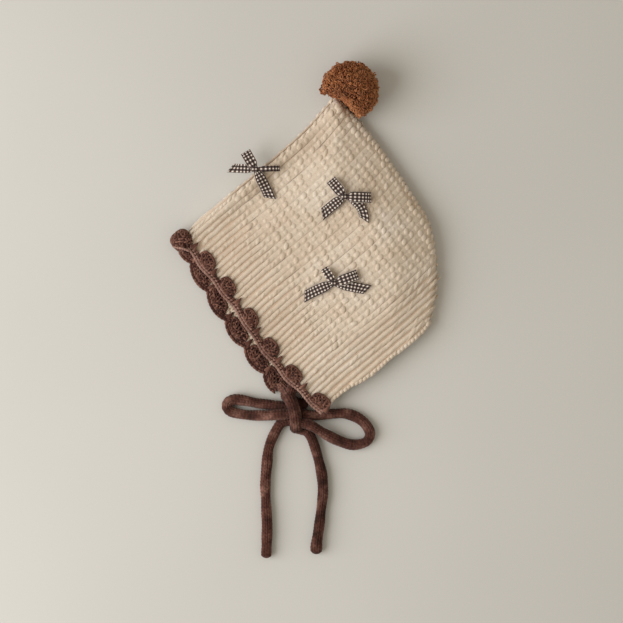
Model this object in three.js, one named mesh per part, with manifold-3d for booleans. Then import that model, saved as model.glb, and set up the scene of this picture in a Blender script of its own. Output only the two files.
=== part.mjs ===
// A knitted pixie bonnet for a baby, lying on its side as it is put away: folded in half along
// the crown, so that an upper and a lower layer of knit lie over one open hollow. Millimetres,
// +Z up. The origin is on the surface below the middle of the bonnet, without its ties.
//
// The knit is laid out in two directions of its own. "depth" runs from the face edge to the
// back, and "up" runs from the neck edge to the crown fold. Both start at the neck corner.
import * as THREE from 'three';
import { mergeVertices } from 'three/addons/utils/BufferGeometryUtils.js';
import Module from 'manifold-3d';

const wasm = await Module();
wasm.setup();

// ---- driving dimensions ----
const LEAN = THREE.MathUtils.degToRad(41.3); // the depth direction above +X
const NECK_CORNER = { x: 23, y: -128 };
const NECK_UP = -5;
const FOLD_UP = 175;
const WALL = 3.6; // thickness of the knit
const GAP = 0.3; // left between pieces that touch

const KNIT_GRID = 20; // facets along each direction of the folded knit
const ROLL_HEIGHT = 10.5; // both layers where they turn at the fold and the back
const ROLL_RADIUS = 6;
const ROLL_MIDDLE = 5;
const ROLL_BLUNT = 0.12; // share of the height that is left right at the fold
const LOFT_HEIGHT = 17; // both layers and the hollow, in the middle
const LOFT_REACH = 45;
const NECK_HEIGHT = 12.5;
const FACE_HEIGHT = 16.5;
const MOUTH_REACH = 32;

const HOLLOW_ROLL_RADIUS = 3.5;
const HOLLOW_ROLL_BLUNT = 0.3;
const HOLLOW_LEAST = 0.2; // between the layers where they close
const BEYOND = 60; // how far the cuts at the openings run past the knit
const ABOVE = 40;
const BELOW = -4;
const PAST_NECK = 15;

const TRIM_THICKNESS = 3.2;
const TRIM_COLUMNS = 4; // facets across a trim
const TRIM_CROWN = 0.6; // share of its thickness that a trim loses towards its two edges
const TRIM_OVERHANG = 2; // how far the trim's fold stands in front of the knit
const TRIM_BAND = 5.2;
const SHELL_REACH = 12.6; // from the trim's fold to the head of a shell
const SHELL_HALF_WIDTH = 8;
const SCALLOP_BULGE = 4;
const SCALLOP_ROUNDNESS = 2.2; // 2 is a parabola, and more is blunter
const SCALLOP_SET_BACK = 0.6;
const PICOT = { length: 6.5, radius: 1.8, sides: 6 };
const TRIM_TIP = { depth: -5.5, up: 172.4, z: 8, radii: [8.4, 8, 8] }; // both trims turned in

const POMPOM = { radius: 22, height: 40, depth: 170, up: 174.6 };
const PEAK_PRESS = { depth: 153, up: 171, z: 31, radii: [15, 13, 16] }; // pressed into the pompom
const BALL_FACETS = { small: [12, 8], middle: [18, 12], large: [24, 16] }; // around and tall
const CORD_DIAMETER = 7.2;
const CORD_SIDES = 8;
const KNOT = { x: -5.9, y: -137.8, width: 11, length: 28, height: 17, bevel: 2.4 };
const RIBBON = { width: 8.6, thickness: 1, lift: 0.7, loopHeight: 3.4 };
const RIBBON_NECK = { width: 0.34, reach: 0.55 }; // shares of a strip's own width and length
const LOOP_NECK = { height: 0.35, reach: 0.6 };
const BOW_KNOT = { radii: [3.4, 3.4, 2.5], lift: 2.2 };

// The edges of the folded knit, each as a curve through a few stations.
const BACK_EDGE = [
  { up: -4.3, depth: 95.9 },
  { up: 5.5, depth: 110.7 },
  { up: 21.5, depth: 126.8 },
  { up: 36.6, depth: 139.1 },
  { up: 57.2, depth: 149.9 },
  { up: 78.9, depth: 153.5 },
  { up: 105.8, depth: 157.3 },
  { up: 152.9, depth: 160.4 },
  { up: 176, depth: 158.6 },
];
const CROWN_FOLD = [
  { depth: -6, up: 174.5 },
  { depth: 27, up: 174.6 },
  { depth: 87, up: 172.6 },
  { depth: 123, up: 173.2 },
  { depth: 158, up: 176.4 },
];
const NECK_EDGE = [
  { depth: -12, upper: 0, lower: 35.5 },
  { depth: 12, upper: 0.2, lower: 14 },
  { depth: 33, upper: -4, lower: 5 },
  { depth: 57, upper: -4.6, lower: 0 },
  { depth: 79, upper: -6, lower: -4 },
  { depth: 96, upper: -4.3, lower: -4.3 },
];
const FACE_EDGE = [
  { up: -5, upper: -11, lower: -25 },
  { up: 11, upper: -11.6, lower: -25 },
  { up: 39, upper: -13.3, lower: -25 },
  { up: 71, upper: -12.2, lower: -22.7 },
  { up: 105, upper: -7.6, lower: -19.2 },
  { up: 140, upper: -6, lower: -13.2 },
  { up: 164, upper: -4.2, lower: -8.4 },
  { up: 175, upper: -3.5, lower: -4.5 },
];

// Soft swellings and dents of the upper layer. reachDepth and reachUp are how far each spreads.
const RELIEF = [
  { name: 'back swelling', depth: 95, up: 55, reachDepth: 42, reachUp: 38, rise: 6 },
  { name: 'rise before the back', depth: 130, up: 95, reachDepth: 26, reachUp: 60, rise: 3.5 },
  { name: 'crown ridge', depth: 70, up: 169, reachDepth: 85, reachUp: 6, rise: 4 },
  { name: 'dent under the ridge', depth: 48, up: 148, reachDepth: 58, reachUp: 15, rise: -4.5 },
  { name: 'gathered peak', depth: 153, up: 170, reachDepth: 15, reachUp: 14, rise: 9 },
];

// The crocheted trim of each layer's face edge: how far up it starts and ends, where its shells
// and picots stand between, and where a picot sits from the trim's fold and over the knit.
const UPPER_TRIM = {
  start: -1.5,
  end: 167,
  steps: 60,
  shells: [146.8, 121.1, 91.1, 63.8, 36.6, 6.2],
  picots: [161.5, 136.4, 106.8, 80, 52.2, 23.6, -1.5],
  picotFromFold: 3.4,
  picotLift: 1.7,
};
const LOWER_TRIM = {
  start: 35.5,
  end: 160,
  steps: 52,
  shells: [142.7, 118.2, 90.8, 64.3, 42],
  picots: [154.7, 129.4, 103, 77.4, 52],
  notches: [180, 154.7, 129.4, 103, 77.4, 52, 30],
  picotFromFold: 3,
  picotLift: 1.9,
};

// ---- curves through the tables ----
function curveThrough(rows, key, value) {
  const points = [...rows].sort((a, b) => a[key] - b[key]);
  const slope = (i) => {
    const before = points[Math.max(i - 1, 0)];
    const after = points[Math.min(i + 1, points.length - 1)];
    return (after[value] - before[value]) / (after[key] - before[key]);
  };
  return (at) => {
    const x = THREE.MathUtils.clamp(at, points[0][key], points.at(-1)[key]);
    let i = 0;
    while (i < points.length - 2 && x > points[i + 1][key]) i += 1;
    const span = points[i + 1][key] - points[i][key];
    const t = (x - points[i][key]) / span;
    const start = (1 + 2 * t) * (1 - t) ** 2 * points[i][value];
    const end = t * t * (3 - 2 * t) * points[i + 1][value];
    const bend = t * (1 - t) ** 2 * slope(i) - t * t * (1 - t) * slope(i + 1);
    return start + end + bend * span;
  };
}

const backEdge = curveThrough(BACK_EDGE, 'up', 'depth');
const crownFold = curveThrough(CROWN_FOLD, 'depth', 'up');
const upperNeck = curveThrough(NECK_EDGE, 'depth', 'upper');
const lowerNeck = curveThrough(NECK_EDGE, 'depth', 'lower');
const upperFace = curveThrough(FACE_EDGE, 'up', 'upper');
const lowerFace = curveThrough(FACE_EDGE, 'up', 'lower');

const lerp = THREE.MathUtils.lerp;
const rise = (distance, reach) => THREE.MathUtils.smoothstep(distance, 0, reach);
const rounded = (distance, radius) => {
  const inside = 1 - THREE.MathUtils.clamp(distance / radius, 0, 1);
  return Math.sqrt(1 - inside * inside);
};

// Height of the upper layer's outer face above the surface, away from the rolled edges.
function crownHeight(depth, up) {
  const fromRoll = Math.min(crownFold(depth) - up, backEdge(up) - depth);
  let height = lerp(ROLL_HEIGHT, LOFT_HEIGHT, rise(fromRoll, LOFT_REACH));
  const nearNeck = 1 - rise(up - upperNeck(depth), MOUTH_REACH);
  const nearFace = 1 - rise(depth - upperFace(up), MOUTH_REACH);
  height -= Math.max(height - NECK_HEIGHT, 0) * nearNeck;
  height -= Math.max(height - FACE_HEIGHT, 0) * nearFace;
  for (const { depth: d, up: u, reachDepth, reachUp, rise: amount } of RELIEF) {
    height += amount * Math.exp(-(((depth - d) / reachDepth) ** 2) - ((up - u) / reachUp) ** 2);
  }
  return height;
}

// ---- solids ----
const world = (depth, up, z) => [
  NECK_CORNER.x + depth * Math.cos(LEAN) - up * Math.sin(LEAN),
  NECK_CORNER.y + depth * Math.sin(LEAN) + up * Math.cos(LEAN),
  z,
];

function solidOf(positions, triangles) {
  return new wasm.Manifold(new wasm.Mesh({
    numProp: 3,
    vertProperties: new Float32Array(positions),
    triVerts: new Uint32Array(triangles),
  }));
}

// The closed solid between two sheets over one grid. plan gives a grid point's depth and up,
// and under and over give the two sheets' heights there.
function slab(columns, rows, plan, under, over) {
  const positions = [];
  for (const sheet of [under, over]) {
    for (let row = 0; row <= rows; row += 1) {
      for (let column = 0; column <= columns; column += 1) {
        const [depth, up] = plan(column, row);
        positions.push(...world(depth, up, sheet(depth, up, column, row)));
      }
    }
  }
  const stride = columns + 1;
  const lift = stride * (rows + 1);
  const triangles = [];
  const quad = (a, b, c, d) => triangles.push(a, b, c, a, c, d);
  for (let row = 0; row < rows; row += 1) {
    for (let column = 0; column < columns; column += 1) {
      const a = row * stride + column;
      quad(a + lift, a + 1 + lift, a + 1 + stride + lift, a + stride + lift);
      quad(a, a + stride, a + 1 + stride, a + 1);
    }
  }
  for (let column = 0; column < columns; column += 1) {
    const far = rows * stride + column;
    quad(column, column + 1, column + 1 + lift, column + lift);
    quad(far + 1, far, far + lift, far + 1 + lift);
  }
  for (let row = 0; row < rows; row += 1) {
    const left = row * stride;
    const right = left + columns;
    quad(left + stride, left, left + lift, left + stride + lift);
    quad(right, right + stride, right + stride + lift, right + lift);
  }
  return solidOf(positions, triangles);
}

function solidFrom(geometry) {
  const bare = geometry.index ? geometry.toNonIndexed() : geometry;
  bare.deleteAttribute('normal');
  bare.deleteAttribute('uv');
  const merged = mergeVertices(bare, 1e-4);
  return solidOf(merged.attributes.position.array, merged.index.array);
}

function ellipsoid({ depth, up, z, radii }, around, tall) {
  const ball = new THREE.SphereGeometry(1, around, tall);
  ball.rotateX(Math.PI / 2);
  ball.scale(...radii);
  ball.rotateZ(LEAN);
  ball.translate(...world(depth, up, z));
  return solidFrom(ball);
}

// Steps from 0 to 1 that crowd towards 1, where an edge rolls over.
const crowded = (index, count) => Math.sin((index / count) * (Math.PI / 2)) ** 0.8;

// The outer form of the folded knit, before it is hollowed. clearance above zero makes it that
// much bigger on every side, for cutting its neighbours back.
function knitOuterForm(clearance) {
  const plan = (column, row) => {
    const across = crowded(row, KNIT_GRID);
    const up = lerp(NECK_UP, FOLD_UP, across);
    const front = lowerFace(up) - clearance;
    const depth = lerp(front, backEdge(up) + clearance, crowded(column, KNIT_GRID));
    const neckShift = (upperNeck(depth) - clearance - NECK_UP) * (1 - across);
    const foldShift = (crownFold(depth) + clearance - FOLD_UP) * across;
    return [depth, up + neckShift + foldShift];
  };
  const roll = (depth, up) => {
    const fromFold = crownFold(depth) + clearance - up;
    const fromBack = backEdge(up) + clearance - depth;
    return Math.max(rounded(fromFold, ROLL_RADIUS) * rounded(fromBack, ROLL_RADIUS), ROLL_BLUNT);
  };
  return slab(KNIT_GRID, KNIT_GRID, plan,
    (depth, up) => ROLL_MIDDLE * (1 - roll(depth, up)) - clearance,
    (depth, up) => lerp(ROLL_MIDDLE, crownHeight(depth, up), roll(depth, up)) + clearance);
}

// The folded knit with its hollow, open along the face edge and the neck edge. clearance makes
// its walls that much thicker on both sides.
function foldedKnit(clearance) {
  const wall = WALL + clearance;
  const innerRoll = (depth, up) => {
    const atFold = rounded(crownFold(depth) - wall - up, HOLLOW_ROLL_RADIUS);
    const atBack = rounded(backEdge(up) - wall - depth, HOLLOW_ROLL_RADIUS);
    return Math.max(atFold * atBack, HOLLOW_ROLL_BLUNT);
  };
  const hollowFloor = (depth, up) => lerp(ROLL_MIDDLE, wall, innerRoll(depth, up));
  const hollowRoof = (depth, up) => {
    const roof = crownHeight(depth, up) - wall;
    return lerp(ROLL_MIDDLE + HOLLOW_LEAST, roof, innerRoll(depth, up));
  };
  const hollow = slab(KNIT_GRID, KNIT_GRID, (column, row) => {
    const up = lerp(NECK_UP - PAST_NECK, FOLD_UP - wall, crowded(row, KNIT_GRID));
    const depth = lerp(-BEYOND, backEdge(up) - wall, crowded(column, KNIT_GRID));
    return [depth, Math.min(up, crownFold(depth) - wall)];
  }, hollowFloor, hollowRoof);

  // In front of the upper layer's face edge only the lower layer is left.
  const aboveLower = slab(1, KNIT_GRID, (column, row) => {
    const up = lerp(NECK_UP - PAST_NECK, FOLD_UP - 2 * WALL, row / KNIT_GRID);
    return [column ? upperFace(up) - clearance : -BEYOND, up];
  }, () => wall, () => ABOVE);

  // Below the lower layer's neck edge only the upper layer is left.
  const belowUpper = slab(KNIT_GRID, 1, (column, row) => {
    const depth = lerp(-BEYOND, BACK_EDGE[0].depth - 2 * WALL, column / KNIT_GRID);
    return [depth, row ? lowerNeck(depth) - clearance : NECK_UP - PAST_NECK];
  }, () => BELOW, hollowRoof);

  return knitOuterForm(clearance).subtract(hollow).subtract(aboveLower).subtract(belowUpper);
}

const knitClearance = foldedKnit(GAP);

// How far a shell reaches at a place along the edge, from 0 beside it to 1 at its middle.
function shellShape(up, middles) {
  const nearest = Math.min(...middles.map((middle) => Math.abs(up - middle)));
  return nearest < SHELL_HALF_WIDTH ? rounded(SHELL_HALF_WIDTH - nearest, SHELL_HALF_WIDTH) : 0;
}

// How far a scallop bulges at a place along the edge, from 0 at its notches to 1 between them.
function scallopShape(up, notches) {
  const next = notches.findIndex((notch) => notch <= up);
  const share = (up - notches[next]) / (notches[next - 1] - notches[next]);
  return 1 - Math.abs(2 * share - 1) ** SCALLOP_ROUNDNESS;
}

// Thickness across a trim, thickest at its middle.
const trimThickness = (column) => {
  const across = (2 * column) / TRIM_COLUMNS - 1;
  return TRIM_THICKNESS * lerp(1, rounded(1 - Math.abs(across), 1), TRIM_CROWN);
};

// A picot is a small point of yarn that lies over the knit beside a shell.
function picot(depth, up, height) {
  const cone = new THREE.ConeGeometry(PICOT.radius, PICOT.length, PICOT.sides);
  cone.rotateZ(-Math.PI / 2 + LEAN);
  cone.translate(...world(depth + PICOT.length / 2, up, height));
  return solidFrom(cone);
}

// fold and front give the trim's fold and its front outline, under and over the faces that it
// stands on and reaches above.
function trimSolid(trim, { fold, front, under, over }) {
  const reach = (up) => lerp(TRIM_BAND, SHELL_REACH, shellShape(up, trim.shells));
  let solid = slab(TRIM_COLUMNS, trim.steps, (column, row) => {
    const up = lerp(trim.start, trim.end, row / trim.steps);
    return [front(up) + (reach(up) * column) / TRIM_COLUMNS, up];
  }, under, (depth, up, column) => over(depth, up) + trimThickness(column));
  for (const up of trim.picots) {
    const depth = fold(up) + trim.picotFromFold;
    solid = solid.add(picot(depth, up, over(depth + PICOT.length / 2, up) + trim.picotLift));
  }
  return solid;
}

// The trim folds outwards over the upper layer, with its shells on the knit's outer face.
function upperTrim() {
  const fold = (up) => upperFace(up) - TRIM_OVERHANG;
  const band = trimSolid(UPPER_TRIM, {
    fold,
    front: fold,
    under: (depth, up) => crownHeight(depth, up) - WALL + 2 * GAP,
    over: crownHeight,
  });
  return band.add(ellipsoid(TRIM_TIP, ...BALL_FACETS.middle)).subtract(knitClearance);
}

// On the lower layer it folds inwards, so that its shells lie on the knit's inner face.
function lowerTrim(neighbour) {
  const fold = (up) => lowerFace(up) - TRIM_OVERHANG + SCALLOP_SET_BACK;
  const band = trimSolid(LOWER_TRIM, {
    fold,
    front: (up) => fold(up) - SCALLOP_BULGE * scallopShape(up, LOWER_TRIM.notches),
    under: () => 0,
    over: () => WALL,
  });
  return band.subtract(knitClearance).subtract(neighbour);
}

// The pompom is pressed in where the peak is sewn to it.
function pompomSolid() {
  const { depth, up, radius, height } = POMPOM;
  const middle = height / 2;
  const form = { depth, up, z: middle, radii: [radius, radius, middle] };
  const press = ellipsoid(PEAK_PRESS, ...BALL_FACETS.middle);
  return ellipsoid(form, ...BALL_FACETS.large).subtract(press).subtract(knitOuterForm(GAP));
}

// ---- gingham bows ----
// Each strip leaves the bow's knot at its own angle. A loop is a folded strip and a tail a
// single one. turn is measured from +X, and squeeze narrows a strip that is seen edge on.
const BOWS = [
  {
    name: 'gingham_bow_crown', x: -37.1, y: 52.5,
    strips: [
      { kind: 'loop', turn: 120, length: 15.5, squeeze: 1 },
      { kind: 'loop', turn: 2, length: 19, squeeze: 0.5 },
      { kind: 'tail', turn: 177, length: 19.5, squeeze: 0.8 },
      { kind: 'tail', turn: -63, length: 25, squeeze: 1 },
    ],
  },
  {
    name: 'gingham_bow_middle', x: 32, y: 30.8,
    strips: [
      { kind: 'loop', turn: 129, length: 17, squeeze: 1 },
      { kind: 'loop', turn: -2, length: 20.5, squeeze: 1 },
      { kind: 'tail', turn: 218, length: 22, squeeze: 1 },
      { kind: 'tail', turn: -55, length: 22, squeeze: 0.9 },
    ],
  },
  {
    name: 'gingham_bow_side', x: 23.8, y: -36.1,
    strips: [
      { kind: 'loop', turn: 123, length: 14, squeeze: 0.7 },
      { kind: 'loop', turn: 20, length: 19.5, squeeze: 1 },
      { kind: 'tail', turn: 204, length: 25, squeeze: 1 },
      { kind: 'tail', turn: -11, length: 26.5, squeeze: 0.9 },
    ],
  },
];

// depth and up of a point given in x and y.
function onKnit(x, y) {
  const dx = x - NECK_CORNER.x;
  const dy = y - NECK_CORNER.y;
  return [
    dx * Math.cos(LEAN) + dy * Math.sin(LEAN),
    dy * Math.cos(LEAN) - dx * Math.sin(LEAN),
  ];
}

// The height of the knit's outer face below a point, or of a strip that hangs past its edge.
function knitHeight(x, y) {
  const [depth, up] = onKnit(x, y);
  return crownHeight(depth, Math.min(up, crownFold(depth) - 3));
}

function strip(bow, { kind, turn, length, squeeze }) {
  const angle = THREE.MathUtils.degToRad(turn);
  const steps = 6;
  const half = (along) => {
    const spread = lerp(RIBBON_NECK.width, 1, rise(along, RIBBON_NECK.reach));
    return (RIBBON.width / 2) * squeeze * spread;
  };
  const thickness = (along) => {
    if (kind === 'tail') return RIBBON.thickness;
    return RIBBON.loopHeight * lerp(LOOP_NECK.height, 1, rise(along, LOOP_NECK.reach));
  };
  const positions = [];
  for (const top of [0, 1]) {
    for (let step = 0; step <= steps; step += 1) {
      const along = step / steps;
      const reach = along * length;
      for (const side of [-1, 1]) {
        const x = bow.x + reach * Math.cos(angle) - side * half(along) * Math.sin(angle);
        const y = bow.y + reach * Math.sin(angle) + side * half(along) * Math.cos(angle);
        positions.push(x, y, knitHeight(x, y) + RIBBON.lift + top * thickness(along));
      }
    }
  }
  const lift = 2 * (steps + 1);
  const triangles = [];
  const quad = (a, b, c, d) => triangles.push(a, b, c, a, c, d);
  for (let step = 0; step < steps; step += 1) {
    const a = 2 * step;
    quad(a + lift, a + 2 + lift, a + 3 + lift, a + 1 + lift);
    quad(a, a + 1, a + 3, a + 2);
    quad(a, a + 2, a + 2 + lift, a + lift);
    quad(a + 3, a + 1, a + 1 + lift, a + 3 + lift);
  }
  const last = 2 * steps;
  quad(1, 0, lift, 1 + lift);
  quad(last, last + 1, last + 1 + lift, last + lift);
  return solidOf(positions, triangles);
}

function bowSolid(bow) {
  const [depth, up] = onKnit(bow.x, bow.y);
  const z = knitHeight(bow.x, bow.y) + RIBBON.lift + BOW_KNOT.lift;
  let solid = ellipsoid({ depth, up, z, radii: BOW_KNOT.radii }, ...BALL_FACETS.small);
  for (const row of bow.strips) {
    solid = solid.add(strip(bow, row));
  }
  return solid.subtract(knitClearance);
}

// ---- ties ----
// The knitted ties are one cord diameter thick and lie on the surface. Near the knot one strand
// passes over the other. Each route is in x, y and z.
const TIE_ROUTES = {
  tie_from_lower_layer: [
    [-16.6, -116.5, 3.7], [-13.8, -119.4, 3.8], [-12, -121.4, 3.9], [-11.6, -123.4, 3.9],
  ],
  tie_from_upper_layer: [[-10.7, -117.8, 12.6], [-10.3, -120.6, 12.4], [-10.2, -123.3, 12.4]],
  tie_loop_left: [
    [-12.4, -132.5, 3.9], [-19.4, -131.5, 3.8], [-25.9, -130.4, 3.6], [-36.8, -128.9, 3.6],
    [-47.8, -127.3, 3.6], [-54.6, -127, 3.6], [-58.7, -128.9, 3.6], [-59.7, -132.2, 3.6],
    [-57.3, -135.6, 3.6], [-50.9, -138, 3.6], [-41.5, -139.6, 4.1], [-31.4, -140.1, 6.2],
    [-22, -139.5, 9.3], [-12.4, -138.2, 10.7],
  ],
  tie_loop_right: [
    [0.3, -138.8, 3.9], [7.3, -139.2, 3.8], [24.2, -137.8, 3.6], [32.7, -137.7, 3.6],
    [42.4, -141, 3.6], [49.2, -146.7, 3.6], [52.3, -153.7, 3.6], [49.6, -159.4, 3.6],
    [39.4, -162.2, 3.7], [28.4, -159.2, 4.9], [15.8, -152.6, 8.5], [7.8, -147.6, 10.7],
    [2.8, -145.4, 10.9], [0.3, -145.1, 10.9],
  ],
  tie_tail_left: [
    [-12.4, -143.3, 3.6], [-16, -144, 3.6], [-18.8, -147, 3.6], [-22, -152.3, 3.6],
    [-26.7, -163.6, 3.6], [-28.6, -179.2, 3.6], [-29.7, -194, 3.6], [-29, -210.4, 3.6],
    [-28.3, -226.8, 3.6], [-28.6, -237.7, 3.6], [-29, -250.9, 3.6],
  ],
  tie_tail_right: [
    [0.3, -150.4, 3.6], [2.2, -150.9, 3.6], [4.8, -153.8, 3.6], [7.4, -159.2, 3.6],
    [11.5, -172.2, 3.6], [14.6, -186.2, 3.6], [15.4, -199.5, 3.6], [13.9, -213.5, 3.6],
    [12.3, -226.8, 3.6], [10.4, -240, 3.6], [10, -247.8, 3.6],
  ],
};
const TIE_STEPS = {
  tie_from_lower_layer: 2,
  tie_from_upper_layer: 2,
  tie_loop_left: 22,
  tie_loop_right: 22,
  tie_tail_left: 12,
  tie_tail_right: 11,
};

function tieGeometry(name) {
  const points = TIE_ROUTES[name].map((point) => new THREE.Vector3(...point));
  const section = new THREE.Shape();
  for (let side = 0; side < CORD_SIDES; side += 1) {
    const angle = ((side + 0.5) / CORD_SIDES) * 2 * Math.PI;
    const corner = [Math.cos(angle) * (CORD_DIAMETER / 2), Math.sin(angle) * (CORD_DIAMETER / 2)];
    if (side) section.lineTo(...corner);
    else section.moveTo(...corner);
  }
  section.closePath();
  return new THREE.ExtrudeGeometry(section, {
    steps: TIE_STEPS[name],
    extrudePath: new THREE.CatmullRomCurve3(points, false, 'centripetal'),
  });
}

// The knot of the ties is a block of wrapped cord with rounded edges.
function knotGeometry() {
  const { x, y, width, length, height, bevel } = KNOT;
  const outline = new THREE.Shape();
  const halfWidth = width / 2 - bevel;
  const halfLength = length / 2 - bevel;
  outline.moveTo(-halfWidth, -halfLength);
  outline.lineTo(halfWidth, -halfLength);
  outline.lineTo(halfWidth, halfLength);
  outline.lineTo(-halfWidth, halfLength);
  outline.closePath();
  const block = new THREE.ExtrudeGeometry(outline, {
    depth: height - 2 * bevel,
    bevelSize: bevel,
    bevelThickness: bevel,
    bevelSegments: 3,
  });
  block.translate(x, y, bevel);
  return block;
}

// ---- the bonnet ----
const fabric = (color) => new THREE.MeshStandardMaterial({ color, roughness: 0.95, metalness: 0 });
const creamKnit = '#e8dcc4';
const brownYarn = '#6b4a40';
const rustYarn = '#a8693c';
const gingham = '#6e5a55';

const bonnet = new THREE.Group();

function addSolid(name, solid, color) {
  const { numProp, vertProperties, triVerts } = solid.getMesh();
  const geometry = new THREE.BufferGeometry();
  geometry.setAttribute('position', new THREE.BufferAttribute(vertProperties, numProp));
  geometry.setIndex(new THREE.BufferAttribute(triVerts, 1));
  addGeometry(name, geometry, color);
}

function addGeometry(name, geometry, color) {
  geometry.computeVertexNormals();
  const mesh = new THREE.Mesh(geometry, fabric(color));
  mesh.name = name;
  bonnet.add(mesh);
}

const trimOnTop = upperTrim();
addSolid('bonnet_knit', foldedKnit(0), creamKnit);
addSolid('face_trim_upper', trimOnTop, brownYarn);
addSolid('face_trim_lower', lowerTrim(trimOnTop), brownYarn);
addSolid('pompom', pompomSolid(), rustYarn);
for (const bow of BOWS) {
  addSolid(bow.name, bowSolid(bow), gingham);
}
addGeometry('tie_knot', knotGeometry(), brownYarn);
for (const name of Object.keys(TIE_ROUTES)) {
  addGeometry(name, tieGeometry(name), brownYarn);
}

export default bonnet;
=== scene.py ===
import math

import bmesh
import bpy
import numpy as np
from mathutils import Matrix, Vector

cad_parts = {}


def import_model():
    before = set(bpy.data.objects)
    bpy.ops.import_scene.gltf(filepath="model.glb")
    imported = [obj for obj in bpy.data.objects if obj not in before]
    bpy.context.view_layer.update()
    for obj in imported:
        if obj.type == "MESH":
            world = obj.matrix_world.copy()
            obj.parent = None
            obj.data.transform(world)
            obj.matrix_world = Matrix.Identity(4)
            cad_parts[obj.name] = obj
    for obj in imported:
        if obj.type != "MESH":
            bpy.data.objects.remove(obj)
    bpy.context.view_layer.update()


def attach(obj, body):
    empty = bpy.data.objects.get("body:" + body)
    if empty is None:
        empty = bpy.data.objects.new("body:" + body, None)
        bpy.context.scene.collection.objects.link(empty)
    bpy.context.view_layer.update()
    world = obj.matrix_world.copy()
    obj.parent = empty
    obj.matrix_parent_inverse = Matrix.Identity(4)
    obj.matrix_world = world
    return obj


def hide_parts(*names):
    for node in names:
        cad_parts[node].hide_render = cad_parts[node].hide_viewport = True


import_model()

MM = 0.001
BODY = "root"
random = np.random.default_rng(seed=11)

# ---- driving dimensions, those of the construction ----
LEAN = math.radians(41.3)
NECK_CORNER = (23.0, -128.0)
WALL = 3.6
ROLL_HEIGHT = 10.5
ROLL_RADIUS = 6.0
ROLL_MIDDLE = 5.0
LOFT_HEIGHT = 17.0
LOFT_REACH = 45.0
NECK_HEIGHT = 12.5
FACE_HEIGHT = 16.5
MOUTH_REACH = 32.0
TRIM_OVERHANG = 2.0
SHELL_REACH = 12.6
SHELL_HALF_WIDTH = 8.0
SCALLOP_BULGE = 4.0
SCALLOP_SET_BACK = 0.6
PICOT_LENGTH = 6.5
CORD_DIAMETER = 7.2
POMPOM = {"depth": 169.0, "up": 172.6, "radius": 22.0}

BACK_EDGE = {  # up: depth
    -4.3: 95.9, 5.5: 110.7, 21.5: 126.8, 36.6: 139.1, 57.2: 149.9,
    78.9: 153.5, 105.8: 157.3, 152.9: 160.8, 176.0: 160.6,
}
CROWN_FOLD = {-6.0: 174.5, 27.0: 174.6, 87.0: 172.6, 123.0: 173.2, 158.0: 177.4}  # depth: up
NECK_EDGE_UPPER = {-12.0: 0.0, 12.0: 0.2, 33.0: -4.0, 57.0: -4.6, 79.0: -6.0, 96.0: -4.3}
NECK_EDGE_LOWER = {-12.0: 35.5, 12.0: 14.0, 33.0: 5.0, 57.0: 0.0, 79.0: -4.0, 96.0: -4.3}
FACE_EDGE_UPPER = {
    -5.0: -11.0, 11.0: -11.6, 39.0: -13.3, 71.0: -12.2, 105.0: -7.6, 140.0: -6.0,
    164.0: -4.2, 175.0: -3.5,
}
FACE_EDGE_LOWER = {
    -5.0: -25.0, 11.0: -25.0, 39.0: -25.0, 71.0: -22.7, 105.0: -19.2, 140.0: -13.2,
    164.0: -8.4, 175.0: -4.5,
}
RELIEF = [
    {"depth": 95, "up": 55, "reach_depth": 42, "reach_up": 38, "rise": 6.0},
    {"depth": 130, "up": 95, "reach_depth": 26, "reach_up": 60, "rise": 3.5},
    {"depth": 70, "up": 169, "reach_depth": 85, "reach_up": 6, "rise": 4.0},
    {"depth": 48, "up": 148, "reach_depth": 58, "reach_up": 15, "rise": -4.5},
    {"depth": 153, "up": 170, "reach_depth": 15, "reach_up": 14, "rise": 9.0},
]
UPPER_SHELLS = [146.8, 121.1, 91.1, 63.8, 36.6, 6.2]
UPPER_PICOTS = [161.5, 136.4, 106.8, 80.0, 52.2, 23.6, -1.5]
LOWER_SHELLS = [142.7, 118.2, 90.8, 64.3, 42.0]
LOWER_PICOTS = [154.7, 129.4, 103.0, 77.4, 52.0]
LOWER_NOTCHES = [180.0, 154.7, 129.4, 103.0, 77.4, 52.0, 30.0]
SCALLOP_ROUNDNESS = 2.2
SHELL_PITCH = 27.4

# Finer measures that only the looks need.
RIB = 4.4  # across one rib of the knit
COURSE = 3.7  # along one stitch
WAFFLE = 7.0  # along one of the longer stitches towards the back
INSET = 1.0  # how far the ground under the stitches lies below the knit's outer face
UNDERSIDE_INSET = 0.6  # and how far it lies above the table
UNDERSIDE_RIBS = 0.55  # how far the ribs stand out of that side
SMALLEST_ROLL = 2.5
SHELL_ROUNDNESS = 2.6
RIBBON_WIDTH = 8.6
CHECK = 1.32  # across one dark or light stripe of the gingham
RIBBON_THICKNESS = 0.32


# ---- curves and the knit's form ----
def curve_through(table):
    xs = np.array(sorted(table))
    ys = np.array([table[x] for x in xs])
    before = np.maximum(np.arange(len(xs)) - 1, 0)
    after = np.minimum(np.arange(len(xs)) + 1, len(xs) - 1)
    slopes = (ys[after] - ys[before]) / (xs[after] - xs[before])

    def at(x):
        x = np.clip(x, xs[0], xs[-1])
        i = np.clip(np.searchsorted(xs, x) - 1, 0, len(xs) - 2)
        span = xs[i + 1] - xs[i]
        t = (x - xs[i]) / span
        start = (1 + 2 * t) * (1 - t) ** 2 * ys[i]
        end = t * t * (3 - 2 * t) * ys[i + 1]
        bend = t * (1 - t) ** 2 * slopes[i] - t * t * (1 - t) * slopes[i + 1]
        return start + end + bend * span

    return at


back_edge = curve_through(BACK_EDGE)
crown_fold = curve_through(CROWN_FOLD)
upper_neck = curve_through(NECK_EDGE_UPPER)
lower_neck = curve_through(NECK_EDGE_LOWER)
upper_face = curve_through(FACE_EDGE_UPPER)
lower_face = curve_through(FACE_EDGE_LOWER)


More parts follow.
